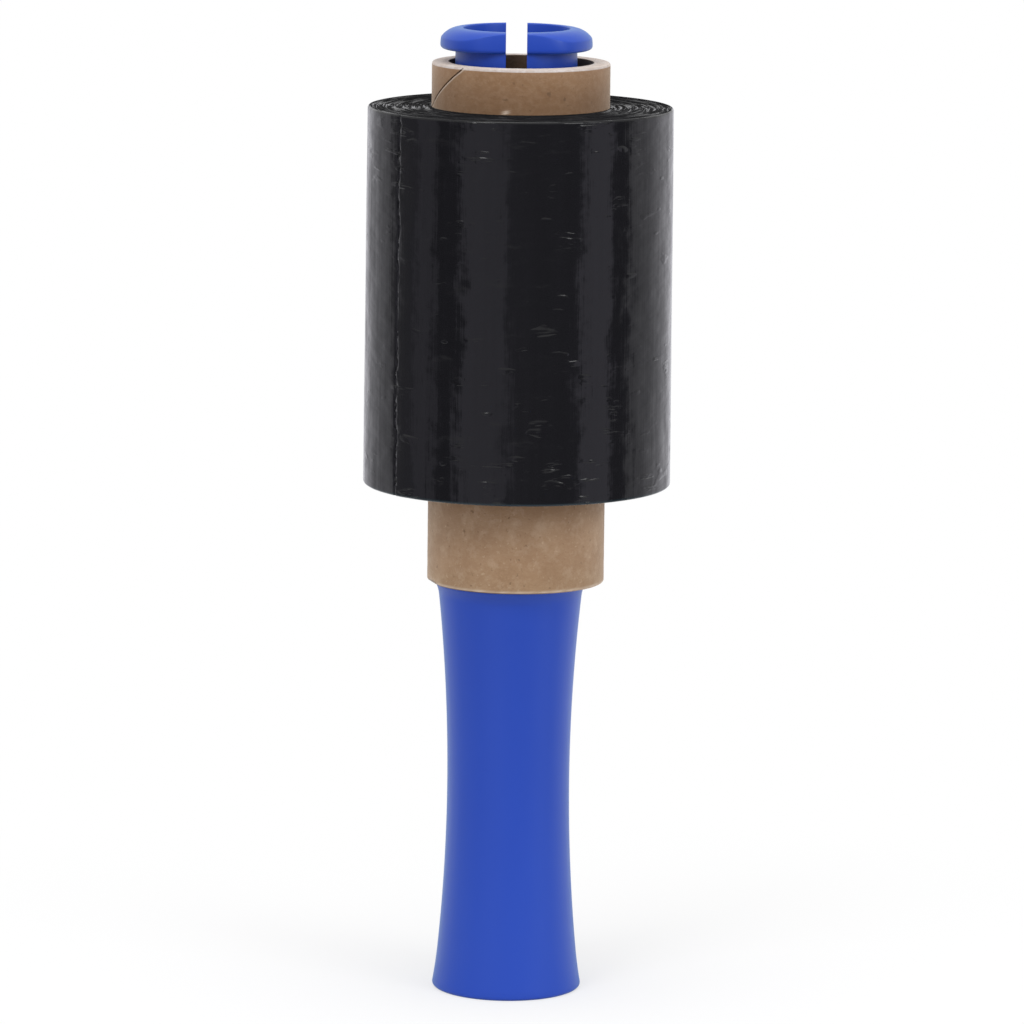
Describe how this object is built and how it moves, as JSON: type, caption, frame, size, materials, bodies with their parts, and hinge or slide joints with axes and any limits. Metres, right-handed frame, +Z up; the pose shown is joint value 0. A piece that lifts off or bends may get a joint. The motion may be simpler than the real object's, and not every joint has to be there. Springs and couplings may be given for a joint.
{
  "type": "stretch wrap roll",
  "caption": "Narrow roll of stretch film on a paper core, turning freely on a one-piece plastic handle whose split snap head holds it.",
  "frame": {"origin": "centre of the handle's foot, on the surface that it stands on", "axes": "+Z up along the handle to its snap head, +X to the right and +Y to the back, with the head's slot running front to back along Y"},
  "size_m": [0.0816, 0.0818, 0.2573],
  "materials": {
    "blue_plastic": "satin",
    "kraft_paper": "matte",
    "black_film": "gloss"
  },
  "bodies": {
    "handle": {"handle": "blue_plastic"},
    "roll": {"core": "kraft_paper", "film": "black_film"}
  },
  "joints": [
    {"name": "roll_spin", "type": "hinge", "parent": "handle", "child": "roll", "pos_m": [0.0013, 0, 0.1795], "axis": [0, 0, 1], "continuous": true}
  ]
}
